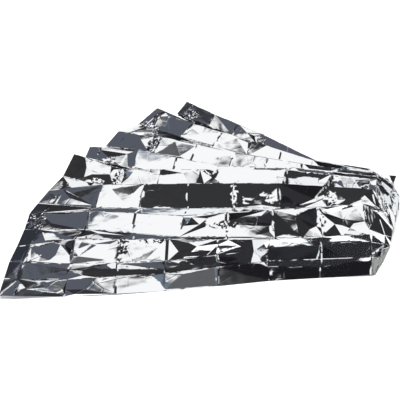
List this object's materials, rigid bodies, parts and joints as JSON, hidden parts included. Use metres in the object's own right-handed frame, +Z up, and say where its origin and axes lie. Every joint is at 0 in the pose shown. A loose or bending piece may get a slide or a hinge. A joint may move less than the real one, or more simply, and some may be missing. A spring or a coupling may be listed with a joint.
{
  "type": "emergency foil blanket, opened out in its pleats",
  "caption": "Thin metallised film sheet for keeping a person warm, lying opened in its accordion pleats as an uneven fan, spread at one side and gathered at the other.",
  "frame": {"origin": "middle of the bounding box, on the surface that the sheet rests on", "axes": "+Z up; +X along the pleats, from the spread side to the gathered side; +Y from the front cut edge to the back one"},
  "size_m": [1.5358, 1.731, 0.1469],
  "materials": {
    "metallised_film": "mirror-bright metallised polyester film with sharp fold creases and fine crumple"
  },
  "bodies": {
    "root": {"foil_blanket": "metallised_film"}
  },
  "joints": []
}
